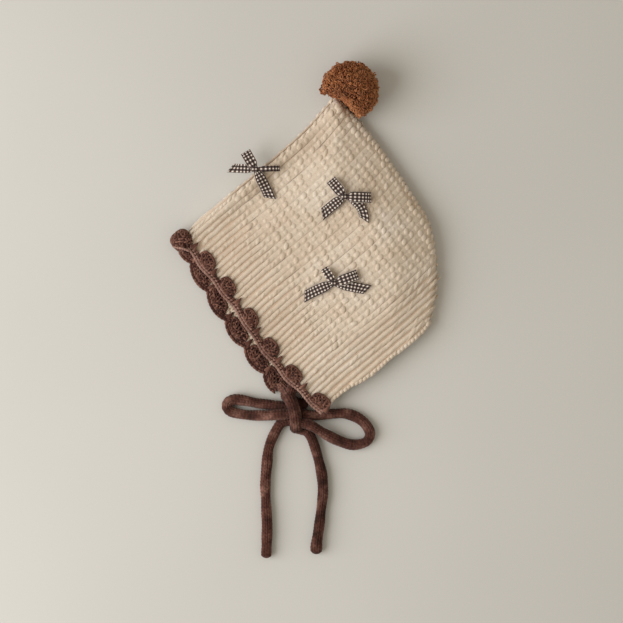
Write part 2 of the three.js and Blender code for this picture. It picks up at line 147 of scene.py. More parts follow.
def lerp(a, b, t):
    return a + (b - a) * t


def smooth_rise(distance, reach):
    t = np.clip(distance / reach, 0, 1)
    return t * t * (3 - 2 * t)


def crown_height(depth, up):
    """Height of the upper layer's outer face above the table, away from the rolled edges."""
    from_roll = np.minimum(crown_fold(depth) - up, back_edge(up) - depth)
    height = lerp(ROLL_HEIGHT, LOFT_HEIGHT, smooth_rise(from_roll, LOFT_REACH))
    near_neck = 1 - smooth_rise(up - upper_neck(depth), MOUTH_REACH)
    near_face = 1 - smooth_rise(depth - upper_face(up), MOUTH_REACH)
    height = height - np.maximum(height - NECK_HEIGHT, 0) * near_neck
    height = height - np.maximum(height - FACE_HEIGHT, 0) * near_face
    for row in RELIEF:
        across = ((depth - row["depth"]) / row["reach_depth"]) ** 2
        along = ((up - row["up"]) / row["reach_up"]) ** 2
        height = height + row["rise"] * np.exp(-across - along)
    return height


def world(depth, up, z):
    """Points in x, y and z from the bonnet's own two directions."""
    x = NECK_CORNER[0] + depth * math.cos(LEAN) - up * math.sin(LEAN)
    y = NECK_CORNER[1] + depth * math.sin(LEAN) + up * math.cos(LEAN)
    return np.stack(np.broadcast_arrays(x, y, z), axis=-1)


def on_knit(x, y):
    dx = x - NECK_CORNER[0]
    dy = y - NECK_CORNER[1]
    depth = dx * math.cos(LEAN) + dy * math.sin(LEAN)
    up = dy * math.cos(LEAN) - dx * math.sin(LEAN)
    return depth, up


def from_edge(arc, radius):
    """How far in from a rolled edge a point lies whose distance over the roll is arc."""
    quarter = radius * math.pi / 2
    return np.where(arc < quarter, radius * (1 - np.cos(arc / radius)), radius + arc - quarter)


def folded_point(fold_arc, back_arc, upper, inset=0.0):
    """A point of the folded knit, from its distances over the surface to the fold and the back.

    inset moves the whole surface inwards by that much. Past the fold or the back the surface
    goes on round to the other layer.
    """
    radius = max(ROLL_RADIUS - inset, SMALLEST_ROLL)
    past = (fold_arc < 0) ^ (back_arc < 0)
    on_upper = np.logical_xor(upper, past)
    fold_arc, back_arc = np.abs(fold_arc), np.abs(back_arc)
    up = 100.0 + 0 * fold_arc
    for _ in range(4):
        depth = back_edge(up) - inset - from_edge(back_arc, radius)
        up = crown_fold(depth) - inset - from_edge(fold_arc, radius)
    depth = back_edge(up) - inset - from_edge(back_arc, radius)
    quarter = math.pi / 2
    at_fold = np.sin(np.minimum(fold_arc / radius, quarter))
    at_back = np.sin(np.minimum(back_arc / radius, quarter))
    roll = at_fold * at_back
    top = lerp(ROLL_MIDDLE, crown_height(depth, up) - inset, roll)
    bottom = lerp(ROLL_MIDDLE, inset, roll)
    return world(depth, up, np.where(on_upper, top, bottom)), depth, up


# ---- meshes ----
def unit(vectors):
    return vectors / np.maximum(np.linalg.norm(vectors, axis=-1, keepdims=True), 1e-9)


class Shape:
    """Vertices in millimetres with quads and triangles, which can be joined to others."""

    def __init__(self, points, quads, triangles=()):
        self.points = np.asarray(points, float).reshape(-1, 3)
        self.quads = np.asarray(quads, int).reshape(-1, 4)
        self.triangles = np.asarray(triangles, int).reshape(-1, 3)

    def __add__(self, other):
        lift = len(self.points)
        return Shape(
            np.concatenate([self.points, other.points]),
            np.concatenate([self.quads, other.quads + lift]),
            np.concatenate([self.triangles, other.triangles + lift]),
        )


def joined(shapes):
    whole, *others = shapes
    for shape in others:
        whole = whole + shape
    return whole


def upright(number):
    return np.tile([0.0, 0.0, 1.0], (number, 1))


def tubes(paths, widths, heights, sides, normals):
    """Closed tubes along many paths of the same number of points, each with pointed ends.

    widths and heights are half measures at each point, across and along the given normals.
    """
    paths = np.asarray(paths, float)
    number, rings, _ = paths.shape
    tangents = unit(np.gradient(paths, axis=1))
    normals = np.broadcast_to(np.asarray(normals, float), paths.shape)
    side = unit(np.cross(tangents, normals))
    rise = np.cross(side, tangents)
    angle = np.arange(sides) * 2 * math.pi / sides
    across = np.cos(angle)[None, None, :, None] * side[:, :, None, :]
    over = np.sin(angle)[None, None, :, None] * rise[:, :, None, :]
    across = across * np.broadcast_to(widths, (number, rings))[:, :, None, None]
    over = over * np.broadcast_to(heights, (number, rings))[:, :, None, None]
    rims = paths[:, :, None, :] + across + over
    tip = np.broadcast_to(heights, (number, rings))[:, [0, -1], None] * 0.6
    ends = paths[:, [0, -1]] + tangents[:, [0, -1]] * tip * np.array([[-1], [1]])
    points = np.concatenate([rims.reshape(number, -1, 3), ends], axis=1)
    each = rings * sides + 2
    ring = np.arange(rings - 1)[:, None] * sides
    a = ring + np.arange(sides)
    b = ring + (np.arange(sides) + 1) % sides
    quads = np.stack([a, b, b + sides, a + sides], axis=-1).reshape(-1, 4)
    first = np.arange(sides)
    after = (first + 1) % sides
    last = (rings - 1) * sides
    start_cap = np.stack([after, first, np.full(sides, each - 2)], axis=-1)
    end_cap = np.stack([last + first, last + after, np.full(sides, each - 1)], axis=-1)
    caps = np.concatenate([start_cap, end_cap])
    lift = np.arange(number)[:, None, None] * each
    return Shape(points, (quads + lift).reshape(-1, 4), (caps + lift).reshape(-1, 3))


def leaves(centres, directions, normals, length, width, height, sink=0.9, rings=6, sides=6):
    """Plump leaf-shaped bits of yarn: one leg of a knitted stitch each, with sunken ends."""
    centres = np.asarray(centres, float)
    number = len(centres)
    t = np.linspace(-0.5, 0.5, rings)

    def column(measure):
        return np.broadcast_to(measure, (number,))[:, None]

    length, width, height = column(length), column(width), column(height)
    plump = np.sqrt(np.clip(1 - (1.9 * t) ** 2, 0.02, 1))[None]
    along = (t[None] * length)[..., None] * directions[:, None]
    dip = -(sink * height * (2 * np.abs(t[None])) ** 2.4)[..., None] * normals[:, None]
    paths = centres[:, None] + along + dip
    return tubes(paths, plump * width / 2, plump * height / 2, sides, normals[:, None])


def sheet_grid(points):
    """Quads over a grid of points."""
    rows, columns = points.shape[:2]
    a = (np.arange(rows - 1)[:, None] * columns + np.arange(columns - 1)).ravel()
    quads = np.stack([a, a + 1, a + 1 + columns, a + columns], axis=-1)
    return Shape(points, quads)


def closed_sheet(points):
    """The same over a grid whose rows are closed outlines, with its first and last row filled."""
    grid = sheet_grid(points)
    rows, columns = points.shape[:2]
    fills = [
        (row * columns, row * columns + k, row * columns + k + 1)
        for row in (0, rows - 1)
        for k in range(1, columns - 2)
    ]
    return Shape(grid.points, grid.quads, fills)


def ball_angles(rings, sides):
    """Angles from the top and round the middle for a grid all over a ball."""
    almost = 0.001
    polar = np.linspace(almost, math.pi - almost, rings)[:, None]
    return polar, np.linspace(0, 2 * math.pi, sides + 1)[None]


def slanted(direction, normals, turns):
    """The direction turned in the surface by each of the angles."""
    side = np.cross(normals, direction)
    return unit(np.cos(turns)[:, None] * direction + np.sin(turns)[:, None] * side)


def build(name, shape, material, replaced=(), weld=False):
    mesh = bpy.data.meshes.new(name)
    mesh.vertices.add(len(shape.points))
    points = shape.points * MM
    points[:, 2] = np.maximum(points[:, 2], 0.0)
    mesh.vertices.foreach_set("co", points.ravel())
    loops = np.concatenate([shape.quads.ravel(), shape.triangles.ravel()])
    four = len(shape.quads)
    starts = [np.arange(four) * 4, four * 4 + np.arange(len(shape.triangles)) * 3]
    mesh.loops.add(len(loops))
    mesh.loops.foreach_set("vertex_index", loops)
    mesh.polygons.add(four + len(shape.triangles))
    mesh.polygons.foreach_set("loop_start", np.concatenate(starts))
    mesh.update(calc_edges=True)
    mesh.validate()
    if weld:
        weld_seams(mesh)
    mesh.shade_smooth()
    mesh.materials.append(material)
    piece = bpy.data.objects.new(name, mesh)
    bpy.context.collection.objects.link(piece)
    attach(piece, BODY)
    if replaced:
        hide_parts(*replaced)
    return piece


def weld_seams(mesh):
    work = bmesh.new()
    work.from_mesh(mesh)
    bmesh.ops.remove_doubles(work, verts=work.verts, dist=2e-5)
    bmesh.ops.recalc_face_normals(work, faces=work.faces)
    work.to_mesh(mesh)
    work.free()


# ---- materials ----
class Nodes:
    """A material's node tree, with short ways to add to it."""

    def __init__(self, name):
        self.material = bpy.data.materials.new(name)
        self.material.use_nodes = True
        self.tree = self.material.node_tree
        self.shader = self.tree.nodes["Principled BSDF"]

    def add(self, kind, links=(), **settings):
        node = self.tree.nodes.new("ShaderNode" + kind)
        for key, value in settings.items():
            if key in node.inputs:
                node.inputs[key].default_value = value
            else:
                setattr(node, key, value)
        for socket, source in dict(links).items():
            self.tree.links.new(source, node.inputs[socket])
        return node

    def link(self, socket, source):
        self.tree.links.new(source, self.shader.inputs[socket])

    def ramp(self, source, stops):
        node = self.add("ValToRGB", {"Fac": source})
        ramp = node.color_ramp
        while len(ramp.elements) < len(stops):
            ramp.elements.new(0.5)
        for element, (place, colour) in zip(ramp.elements, stops):
            element.position = place
            element.color = (*colour, 1)
        return node.outputs["Color"]

    def put(self, node, socket, value):
        """A link, a colour or a number into one of a node's sockets."""
        if isinstance(value, bpy.types.NodeSocket):
            self.tree.links.new(value, node.inputs[socket])
        elif isinstance(value, tuple):
            node.inputs[socket].default_value = (*value, 1)
        else:
            node.inputs[socket].default_value = value

    def mix(self, factor, a, b, blend="MIX"):
        node = self.add("Mix", data_type="RGBA", blend_type=blend)
        for socket, value in ((0, factor), (6, a), (7, b)):
            self.put(node, socket, value)
        return node.outputs[2]

    def maths(self, operation, a, b=0.0):
        node = self.add("Math", operation=operation)
        self.put(node, 0, a)
        self.put(node, 1, b)
        return node.outputs[0]

    def darkened(self, colour, factor, source, stops):
        """The colour times a grey that follows the source."""
        greys = [(place, (grey,) * 3) for place, grey in stops]
        return self.mix(factor, colour, self.ramp(source, greys), "MULTIPLY")


def srgb(red, green, blue):
    """A linear colour from its everyday 0 to 255 values."""

    def linear(v):
        v /= 255
        return v / 12.92 if v <= 0.04045 else ((v + 0.055) / 1.055) ** 2.4

    return (linear(red), linear(green), linear(blue))


def yarn(name, deep, middle, light, fibre=1400.0, patch=28.0, mottling=330.0, blotch=0.25,
         sheen=0.35, rough=0.92, bump=0.5, one_by_one=0.4):
    """Spun yarn: each stitch a little lighter or darker, soft patches, and fine fibres."""
    n = Nodes(name)
    place = n.add("TexCoord").outputs["Object"]
    island = n.add("NewGeometry").outputs["Random Per Island"]
    soft = n.add("TexNoise", {"Vector": place}, Scale=patch, Detail=2.0).outputs["Fac"]
    strand = n.add("TexNoise", {"Vector": place}, Scale=fibre, Detail=3.0, Roughness=0.7)
    base = n.ramp(soft, [(0.3, deep), (0.5, middle), (0.72, light)])
    one = n.ramp(island, [(0.0, deep), (0.5, middle), (1.0, light)])
    colour = n.mix(one_by_one, base, one)
    colour = n.darkened(colour, 0.55, strand.outputs["Fac"], [(0.3, 0.62), (0.62, 1.0)])
    mottle = n.add("TexNoise", {"Vector": place}, Scale=mottling, Detail=2.0).outputs["Fac"]
    colour = n.darkened(colour, blotch, mottle, [(0.34, 0.5), (0.62, 1.0)])
    n.link("Base Color", colour)
    relief = n.add("Bump", {"Height": strand.outputs["Fac"]}, Strength=bump, Distance=0.0004)
    n.link("Normal", relief.outputs["Normal"])
    n.shader.inputs["Roughness"].default_value = rough
    n.shader.inputs["Specular IOR Level"].default_value = 0.15
    n.shader.inputs["Sheen Weight"].default_value = sheen
    n.shader.inputs["Sheen Roughness"].default_value = 0.5
    return n.material


def gingham_cloth():
    """Woven check: white and near-black threads both ways, with a dark line along each edge."""
    n = Nodes("gingham_weave")
    place = n.add("UVMap").outputs["UV"]
    axes = n.add("SeparateXYZ", {"Vector": place})

    def stripe(source, shift):
        """1 over the dark stripes and 0 over the light ones."""
        turns = n.maths("DIVIDE", n.maths("ADD", source, shift), 2 * CHECK)
        return n.maths("GREATER_THAN", n.maths("FRACT", turns), 0.42)

    both = n.maths("ADD", stripe(axes.outputs["X"], 0.0), stripe(axes.outputs["Y"], CHECK / 2))
    colour = n.ramp(n.maths("MULTIPLY", both, 0.5), [
        (0.0, srgb(244, 236, 226)), (0.5, srgb(98, 72, 64)), (1.0, srgb(12, 6, 6)),
    ])
    from_middle = n.maths("ABSOLUTE", axes.outputs["Y"])
    edge = n.maths("GREATER_THAN", from_middle, RIBBON_WIDTH / 2 - 0.75)
    colour = n.mix(edge, colour, srgb(40, 24, 22))
    border = n.maths("GREATER_THAN", from_middle, RIBBON_WIDTH / 2 - 0.3)
    colour = n.mix(border, colour, srgb(196, 180, 168))
    thread = n.add("TexWave", {"Vector": place}, Scale=2.2, Distortion=0.6)
    colour = n.darkened(colour, 0.2, thread.outputs["Fac"], [(0, 0.5), (1, 1.0)])
    n.link("Base Color", colour)
    relief = n.add("Bump", {"Height": thread.outputs["Fac"]}, Strength=0.3, Distance=0.0002)
    n.link("Normal", relief.outputs["Normal"])
    n.shader.inputs["Roughness"].default_value = 0.7
    n.shader.inputs["Sheen Weight"].default_value = 0.15
    return n.material


cream_wool = yarn(
    "cream_wool", srgb(216, 195, 173), srgb(230, 211, 190), srgb(240, 226, 210), blotch=0.12
)
# A lighter copy of the cream for the fold row: a painted highlight for the light that the rolled
# fold catches.
cream_fold_painted_highlight = yarn(
    "cream_fold_painted_highlight", srgb(228, 208, 186), srgb(240, 224, 206), srgb(247, 236, 221), blotch=0.1
)
# A darker copy of the cream for the ground under the stitches: painted shade where it shows between
# them and inside the layers.
cream_ground_painted_shade = yarn(
    "cream_ground_painted_shade", srgb(212, 186, 160), srgb(224, 200, 176), srgb(232, 212, 190), blotch=0.1
)
brown_wool = yarn(
    "brown_wool", srgb(66, 36, 30), srgb(108, 68, 56), srgb(156, 112, 96),
    blotch=0.55, sheen=0.15, one_by_one=0.7,
)
# A much darker copy of the brown for the bodies under the trims' stitches and inside the knot:
# painted shade for the holes between them.
brown_core_painted_shade = yarn("brown_core_painted_shade", srgb(40, 20, 16), srgb(56, 31, 25), srgb(74, 44, 36), sheen=0.0)
brown_cord = yarn(
    "brown_cord", srgb(50, 26, 21), srgb(108, 67, 56), srgb(182, 134, 118),
    patch=110.0, mottling=520.0, blotch=0.85, sheen=0.15, bump=0.9,
)
# A lighter copy of the brown for the upper trim's fold chain and its line over the dome: a painted
# highlight where light catches that ridge.
brown_fold_painted_highlight = yarn(
    "brown_fold_painted_highlight", srgb(112, 76, 66), srgb(150, 112, 100), srgb(180, 142, 128), sheen=0.2
)
rust_wool = yarn(
    "rust_wool", srgb(116, 60, 30), srgb(178, 108, 64), srgb(226, 160, 108),
    blotch=0.6, sheen=0.15,
)
# A much darker copy of the rust for the ball under the curls: painted shade for the gaps between
# them.
rust_core_painted_shade = yarn("rust_core_painted_shade", srgb(58, 28, 12), srgb(80, 42, 18), srgb(104, 56, 26), sheen=0.0)
gingham = gingham_cloth()


# ---- camera ----
VIEW_CENTRE = (6.45, -57.9)
VIEW_DISTANCE = 1508.0
VIEW_LENS = 111.1


def add_camera():
    data = bpy.data.cameras.new("camera")
    data.lens = VIEW_LENS
    camera = bpy.data.objects.new("camera", data)
    camera.location = (VIEW_CENTRE[0] * MM, VIEW_CENTRE[1] * MM, VIEW_DISTANCE * MM)
    bpy.context.collection.objects.link(camera)
    bpy.context.scene.camera = camera


add_camera()

# ---- ties ----
# The routes of the construction. A tail's far end is bare, and a loop's goes back into the knot.
TIE_ROUTES = {
    "tie_from_lower_layer": [
        (-16.6, -116.5, 3.7), (-13.8, -119.4, 3.8), (-12, -121.4, 3.9), (-11.6, -123.4, 3.9),
    ],
    "tie_from_upper_layer": [
        (-7.4, -115.4, 11.0), (-9.0, -118.8, 11.4), (-10.2, -123.3, 11.2),
    ],
    "tie_loop_left": [
        (-12.4, -132.5, 3.9), (-19.4, -131.7, 3.8), (-25.9, -130.9, 3.6), (-36.8, -129.5, 3.6),
        (-47.8, -127.3, 3.6), (-54.6, -127, 3.6), (-58.7, -128.9, 3.6), (-59.7, -132.2, 3.6),
        (-57.3, -135.6, 3.6), (-50.9, -137.8, 3.6), (-41.5, -139.0, 4.1), (-31.4, -139.1, 6.2),
        (-22, -138.5, 9.0), (-12.4, -137.6, 10.2),
    ],
    "tie_loop_right": [
        (0.3, -138.8, 3.9), (7.3, -139.2, 3.8), (24.2, -137.8, 3.6), (32.7, -137.7, 3.6),
        (42.4, -141, 3.6), (49.2, -146.7, 3.6), (52.3, -153.7, 3.6), (49.6, -159.4, 3.6),
        (39.4, -162.2, 3.7), (28.4, -159.2, 4.9), (15.8, -152.6, 8.5), (7.8, -147.6, 10.7),
        (2.8, -145.4, 10.9), (0.3, -145.1, 10.9),
    ],
    "tie_tail_left": [
        (-12.4, -143.3, 3.6), (-16, -144, 3.6), (-18.8, -147, 3.6), (-22, -152.3, 3.6),
        (-26.7, -163.6, 3.6), (-28.6, -179.2, 3.6), (-29.7, -194, 3.6), (-29, -210.4, 3.6),
        (-28.3, -226.8, 3.6), (-28.6, -237.7, 3.6), (-29, -250.9, 3.6),
    ],
    "tie_tail_right": [
        (0.3, -150.4, 3.6), (2.2, -150.9, 3.6), (4.8, -153.8, 3.6), (7.4, -159.2, 3.6),
        (11.5, -172.2, 3.6), (14.6, -186.2, 3.6), (15.4, -199.5, 3.6), (13.9, -213.5, 3.6),
        (12.3, -226.8, 3.6), (10.4, -240, 3.6), (10, -247.8, 3.6),
    ],
}
FAR_ENDS = {
    "tie_loop_left": "object",
    "tie_loop_right": "object",
    "tie_tail_left": "bare",
    "tie_tail_right": "bare",
}


def passed(a, b, start, end, t):
    """The point that t has reached on the way from a to b, between its two knots."""
    return (end - t) / (end - start) * a + (t - start) / (end - start) * b


def smooth_route(points, step):
    """A centripetal curve through the points, sampled about every step."""
    points = np.asarray(points, float)
    points = np.concatenate([[2 * points[0] - points[1]], points, [2 * points[-1] - points[-2]]])
    knots = np.concatenate([[0], np.cumsum(np.linalg.norm(np.diff(points, axis=0), axis=1) ** 0.5)])
    fine = []
    for i in range(1, len(points) - 2):
        t = np.linspace(knots[i], knots[i + 1], 24, endpoint=False)[:, None]
        p0, p1, p2, p3 = points[i - 1 : i + 3]
        t0, t1, t2, t3 = knots[i - 1 : i + 3]
        a1 = passed(p0, p1, t0, t1, t)
        a2 = passed(p1, p2, t1, t2, t)
        a3 = passed(p2, p3, t2, t3, t)
        b1 = passed(a1, a2, t0, t2, t)
        b2 = passed(a2, a3, t1, t3, t)
        fine.append(passed(b1, b2, t1, t2, t))
    fine = np.concatenate([*fine, points[-2:-1]])
    lengths = np.concatenate([[0], np.cumsum(np.linalg.norm(np.diff(fine, axis=0), axis=1))])
    count = max(int(round(lengths[-1] / step)), 3)
    at = np.linspace(0, lengths[-1], count + 1)
    return np.stack([np.interp(at, lengths, fine[:, k]) for k in range(3)], axis=-1), lengths[-1]


TIE_COLUMNS = 7
SIDES_OF_COLUMN = 6
TIE_COURSE = 2.5
STITCH_RELIEF = 1.35  # how far the stitches of a tie stand out


def tie_shape(path, length, radius, blunt_ends=(False, False)):
    """An i-cord: a round tube whose surface is columns of small V stitches."""
    sides = TIE_COLUMNS * SIDES_OF_COLUMN
    tangents = unit(np.gradient(path, axis=0))
    side = unit(np.cross(tangents, [0, 0, 1.0]))
    rise = np.cross(side, tangents)
    s = np.linspace(0, length, len(path))[:, None]
    angle = (np.arange(sides) * 2 * math.pi / sides)[None]
    column = (angle / (2 * math.pi) * TIE_COLUMNS) % 1
    leg = np.abs(column - 0.5) * 2
    across = np.sin(math.pi * (2 * column % 1)) ** 0.6
    along = np.abs(np.sin(math.pi * (s / TIE_COURSE + 0.9 * leg))) ** 0.5
    round_off = np.ones_like(s)
    for blunt, distance in zip(blunt_ends, (s, length - s)):
        if blunt:
            near = np.clip(distance / (0.9 * radius), 0, 1)
            round_off = round_off * np.sqrt(np.clip(1 - (1 - near) ** 2, 0.02, 1))
            round_off = round_off * (1 + 0.09 * np.exp(-(((distance - 5) / 4) ** 2)))
    uneven = 1 + 0.05 * np.sin(s / 7.3 + 1.1) + 0.035 * np.sin(s / 3.1)
    r = (radius - 0.6 + STITCH_RELIEF * across * along) * round_off * uneven
    points = path[:, None] + r[..., None] * (
        np.cos(angle)[..., None] * side[:, None] + np.sin(angle)[..., None] * rise[:, None]
    )
    shape = sheet_grid(np.concatenate([points, points[:, :1]], axis=1))
    rings = len(path)
    stride = sides + 1
    ends = np.array([path[0], path[-1]])
    first = np.arange(sides)
    start_cap = np.stack([np.full(sides, rings * stride), first + 1, first], axis=-1)
    last = (rings - 1) * stride
    end = np.full(sides, rings * stride + 1)
    end_cap = np.stack([end, last + first, last + first + 1], axis=-1)
    caps = np.concatenate([start_cap, end_cap])
    return Shape(np.concatenate([shape.points, ends]), shape.quads, caps)


KNOT_REACH = 6.0  # how far each cord goes on inside the knot
TRIM_REACH = 3.4  # and how far the short ones go on under the trim


def prolonged(end, before, reach):
    end, before = np.array(end), np.array(before)
    return tuple(end + reach * unit(end - before))


def add_ties():
    for name, route in TIE_ROUTES.items():
        free = FAR_ENDS.get(name) == "bare"
        first_reach = KNOT_REACH if name in FAR_ENDS else TRIM_REACH
        route = [prolonged(route[0], route[1], first_reach), *route]
        if not free:
            route = [*route, prolonged(route[-1], route[-2], KNOT_REACH)]
        path, length = smooth_route(route, 0.5)
        shape = tie_shape(path, length, CORD_DIAMETER / 2, (False, free))
        piece = build(name + "_yarn", shape, brown_cord, [name], weld=True)


add_ties()


# The knot: one wide turn of yarn from the lower layer's tie over and down, on a core painted dark
# as the shade inside the knot. The core has one part along the turn, with its half widths, and one
# across towards the loops.
KNOT_TURN = [
    (-13.6, -120.6, 5.0), (-12.0, -123.0, 8.6), (-10.2, -126.0, 12.0), (-8.0, -131.0, 13.8),
    (-6.4, -137.5, 13.6), (-5.6, -144.5, 11.6), (-5.2, -151.6, 5.4),
]
KNOT_TURN_RADIUS = 4.5
KNOT_CORE = {"x": -5.2, "z": 6.0, "start": -126.0, "end": -148.0}
KNOT_CORE_HALF = np.array([2.6, 4.4, 5.0, 5.2, 5.2, 5.2, 5.0, 4.6, 3.0])
KNOT_BRIDGE = {"y": -129.8, "z": 5.4, "start": -6.0, "end": 2.4, "half": 4.2}


def add_knot():
    path, length = smooth_route(KNOT_TURN, 0.4)
    turn = tie_shape(path, length, KNOT_TURN_RADIUS, (True, True))
    build("tie_knot_yarn", turn, brown_cord, ["tie_knot"], weld=True)
    core, bridge = KNOT_CORE, KNOT_BRIDGE
    steps = np.linspace(core["start"], core["end"], len(KNOT_CORE_HALF))
    along = [[(core["x"], y, core["z"]) for y in steps]]
    steps = np.linspace(bridge["start"], bridge["end"], 6)
    across = [[(x, bridge["y"], bridge["z"]) for x in steps]]
    core = tubes(along, KNOT_CORE_HALF, KNOT_CORE_HALF, 24, (0, 0, 1.0))
    core = core + tubes(across, bridge["half"], bridge["half"], 24, (0, 0, 1.0))
    build("tie_knot_core", core, brown_core_painted_shade, weld=True)


add_knot()


# ---- the knit ----
def knit_frame(fold_arc, back_arc, upper, inset=0.0):
    """Points of the knit with the directions along its ribs and out of its face."""
    small = 0.25
    centre, depth, up = folded_point(fold_arc, back_arc, upper, inset)
    ahead, _, _ = folded_point(fold_arc, back_arc + small, upper, inset)
    beside, _, _ = folded_point(fold_arc + small, back_arc, upper, inset)
    along = unit(centre - ahead)
    across = unit(centre - beside)
    out = unit(np.cross(along, across))
    out = np.where(np.asarray(upper)[..., None], out, -out)
    return centre, along, np.cross(out, along), out, depth, up


FIRST_RIB = 5.7  # from the fold, over the surface
LAST_RIB = 196.0
MIDDLE_FOLD = 174.0  # about how far up the crown fold lies
FOLD_ROW = {"arc": -1.2, "pitch": 8.0, "course": 5.6, "lift": 0.7}
ROWS_BEYOND = [-7.8, -12.0]  # the ribs that are made past the fold
PLAIN_LENGTH = 30.0  # from the face edge, before the waffle begins
PLAIN_NECK = 16.0  # the same from the neck edge
COURSE_FADE, LENGTH_FADE, NECK_FADE = 26.0, 30.0, 24.0
FRONT_LENGTH = 72.0  # the stitches in front of this are one piece, and those behind another
UNDER_TIP = {"up": 158.0, "depth": 3.0}  # the corner of the knit that the trims' dome covers

# Each of these is for the plain ribs and for the waffle.
STITCH_LENGTH = (2.1, 1.0)  # times the spacing
STITCH_WIDTH = (0.66, 0.96)  # times the pitch
STITCH_HEIGHT = (1.7, 2.1)
STITCH_TURN = (8.0, 18.0)  # in degrees, from along the rib
RIB_SINK = (1.0, 0.75)  # how far a rib's middle lies under the surface
RIB_HALF_WIDTH = (0.43, 0.62)  # times the pitch, as is the next
RIB_HALF_HEIGHT = (0.27, 0.14)


def stitch_rows():
    ribs = [{"arc": arc, "pitch": RIB, "course": COURSE, "lift": 0.0}
            for arc in np.arange(FIRST_RIB, LAST_RIB, RIB)]
    ribs[0]["lift"] = 0.4
    beyond = [{"arc": arc, "pitch": RIB, "course": COURSE, "lift": 0.0} for arc in ROWS_BEYOND]
    return [FOLD_ROW, *ribs, *beyond]


def course_places(longest, course):
    """Where the stitches of a rib lie, from the face edge: close in front and wider behind."""
    places = [0.0]
    while places[-1] < longest:
        wider = float(smooth_rise(places[-1] - PLAIN_LENGTH, COURSE_FADE))
        places.append(places[-1] + lerp(course, max(course, WAFFLE), wider))
    return np.array(places)


def row_frame(index, row):
    """The spacing of one row's stitches, and the knit's frame at each of them."""
    up_guess = MIDDLE_FOLD - from_edge(np.abs(row["arc"]), ROLL_RADIUS)
    quarter = ROLL_RADIUS * math.pi / 2
    longest = float(back_edge(up_guess) - upper_face(up_guess) - ROLL_RADIUS + quarter)
    distance = course_places(longest + 6, row["course"])
    spacing = np.gradient(distance)
    number = len(distance)
    plain = 1 - smooth_rise(distance - PLAIN_LENGTH, COURSE_FADE)
    stagger = (index % 2) * 0.5 * spacing * plain
    distance = distance + stagger + random.normal(0, 0.45, number)
    wander = 0.35 * np.sin(distance / 17 + random.uniform(0, 2 * math.pi))
    arcs = row["arc"] + wander + random.normal(0, 0.14, number)
    return spacing, knit_frame(arcs, longest - distance, np.ones(number, bool))


def row_stitches(row, spacing, centre, along, across, out, waffle):
    """The places, directions, normals and sizes of one row's stitches."""
    number = len(spacing)
    turn = np.radians(lerp(*STITCH_TURN, waffle)) * (1 + random.normal(0, 0.6, number))
    direction = np.cos(turn)[:, None] * along + np.sin(turn)[:, None] * across
    lift = row["lift"] - 0.62 + random.normal(0, 0.18, number)
    plump = 1 + random.normal(0, 0.1, number)
    wide = 1 + 0.25 * (row["pitch"] > RIB)
    size = np.stack([
        spacing * lerp(*STITCH_LENGTH, waffle) * plump,
        row["pitch"] * lerp(*STITCH_WIDTH, waffle) * (1 + random.normal(0, 0.1, number)),
        lerp(*STITCH_HEIGHT, waffle) * wide * plump,
    ], -1)
    return centre + out * lift[:, None], direction, out, size


def rib_shape(pitch, centre, out, waffle):
    path = centre - out * lerp(*RIB_SINK, waffle)[:, None]
    half = pitch * lerp(*RIB_HALF_WIDTH, waffle)
    return tubes([path], half, pitch * lerp(*RIB_HALF_HEIGHT, waffle), 8, [out])


def add_knit_stitches():
    """Round ribs over the upper layer and past the fold, with a slanted stitch at each course.

    In front and along the neck the stitches overlap, so the ribs look plain. In the middle and
    towards the back they lie one by one and stand out more, and look like a waffle.
    """
    groups = {"fold": [], "front": [], "back": []}
    ribs = []
    for index, row in enumerate(stitch_rows()):
        spacing, place = row_frame(index, row)
        centre, along, across, out, depth, up = place
        keep = (up > upper_neck(depth) + 1.2) & (depth > upper_face(up) + 0.5)
        keep = keep & ~((up > UNDER_TIP["up"]) & (depth < UNDER_TIP["depth"]))
        waffle = smooth_rise(depth - upper_face(up) - PLAIN_LENGTH, LENGTH_FADE)
        waffle = waffle * smooth_rise(up - PLAIN_NECK, NECK_FADE)
        if keep.sum() > 3:
            ribs.append(rib_shape(row["pitch"], centre[keep], out[keep], waffle[keep]))
        stitches = row_stitches(row, spacing, centre, along, across, out, waffle)
        in_front = depth < FRONT_LENGTH
        parts = {"front": keep & in_front, "back": keep & ~in_front}
        if row is FOLD_ROW:
            parts = {"fold": keep}
        for name, part in parts.items():
            groups[name].append([values[part] for values in stitches])
    build("knit_ribs", joined(ribs), cream_wool)
    for name, found in groups.items():
        place, direction, out, size = (np.concatenate(group) for group in zip(*found))
        shape = leaves(place, direction, out, *size.T, sink=0.5, rings=7)
        # The fold row gets the lighter cream, a painted highlight on the fold's ridge.
        material = cream_fold_painted_highlight if name == "fold" else cream_wool
        build(f"knit_stitches_{name}", shape, material)


RIM_PITCH = 3.4
RIM_END = 97.0
RIM_SIZE = (6.4, 3.0, 2.7)
RIM_ROWS = ((0.24, 0.2), (-0.3, -1.6))  # the turn and the lift of each row


def add_neck_rims():
    """The cast-on edge along the neck of each layer."""
    shapes = []
    for upper, face, neck in ((True, upper_face, upper_neck), (False, lower_face, lower_neck)):
        first = face(float(neck(0.0))) + (1.0 if upper else 6.0)
        depth = np.arange(first, RIM_END, RIM_PITCH)
        up = neck(depth) + 0.9 + random.normal(0, 0.2, len(depth))
        z = crown_height(depth, up) - 0.9 if upper else WALL * 0.6
        centre = world(depth, up, z)
        direction = unit(np.gradient(world(depth, neck(depth), 0.0), axis=0))
        side = np.stack([-direction[:, 1], direction[:, 0], 0 * depth], -1)
        out = upright(len(depth))
        for turn, lift in RIM_ROWS:
            lean = unit(math.cos(turn) * direction + math.sin(turn) * side)
            shapes.append(leaves(centre + out * lift - 0.3 * side, lean, out, *RIM_SIZE))
    build("knit_neck_rim", joined(shapes), cream_wool)


GRID_ROWS, GRID_COLUMNS = 96, 88


